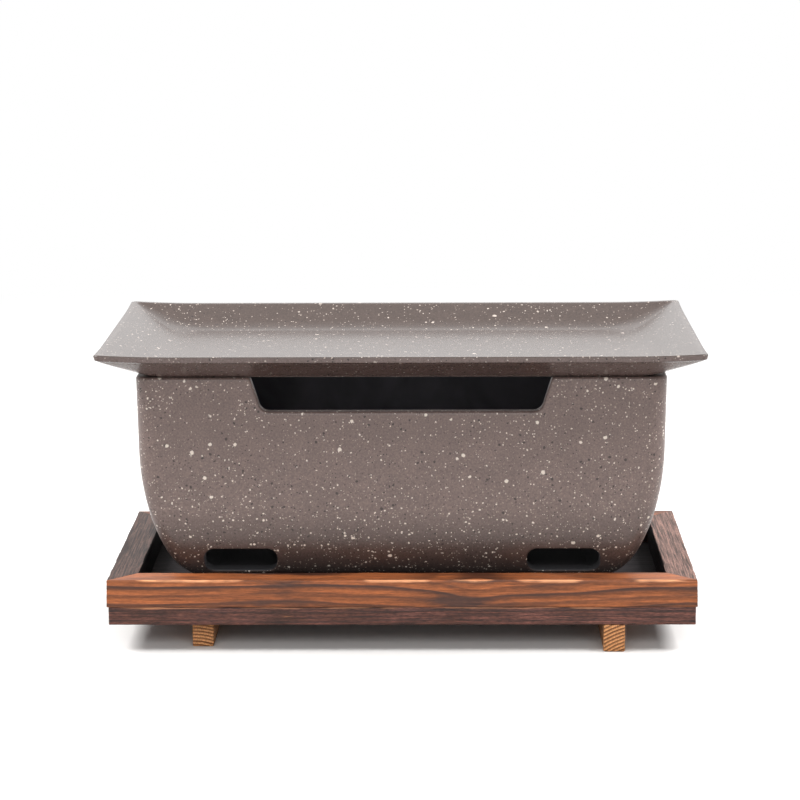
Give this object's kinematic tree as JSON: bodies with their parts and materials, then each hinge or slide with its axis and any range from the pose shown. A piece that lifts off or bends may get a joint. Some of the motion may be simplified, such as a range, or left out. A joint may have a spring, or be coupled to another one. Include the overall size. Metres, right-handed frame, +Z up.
{
  "type": "portable barbecue grill",
  "caption": "Small tabletop charcoal grill: speckled cast stove with fire windows and vents, lift-off flared grill plate and slotted charcoal grate, on a charred wooden tray.",
  "frame": {"origin": "on the table, under the middle of the tray and the grill plate", "axes": "+X along the tray to the right, +Y away from the user, +Z up"},
  "size_m": [0.2344, 0.134, 0.1198],
  "materials": {
    "stove_coat": "satin taupe non-stick coat with pale and dark specks on cast aluminium",
    "plate_coat": "satin taupe non-stick coat with pale and dark specks on cast aluminium",
    "grate_steel": "pressed steel dulled by heat",
    "board_pine": "charred and brushed pine, satin lacquer",
    "rail_pine": "charred and brushed pine, satin lacquer",
    "bearer_pine": "lightly charred pine",
    "fastener_steel": "zinc-plated steel"
  },
  "bodies": {
    "tray": {"base_board": "board_pine", "front_rail": "rail_pine", "back_rail": "rail_pine", "left_rail": "rail_pine", "right_rail": "rail_pine", "left_bearer": "bearer_pine", "right_bearer": "bearer_pine", "bearer_screws": "fastener_steel", "frame_nails": "fastener_steel"},
    "stove": {"stove_body": "stove_coat"},
    "plate": {"grill_plate": "plate_coat"},
    "grate": {"charcoal_grate": "grate_steel"}
  },
  "joints": [
    {"name": "stove_lift", "type": "slide", "parent": "tray", "child": "stove", "axis": [0, 0, 1], "range_m": [0, 0.06]},
    {"name": "plate_lift", "type": "slide", "parent": "stove", "child": "plate", "axis": [0, 0, 1], "range_m": [0, 0.06]},
    {"name": "grate_lift", "type": "slide", "parent": "stove", "child": "grate", "axis": [0, 0, 1], "range_m": [0, 0.05]}
  ]
}
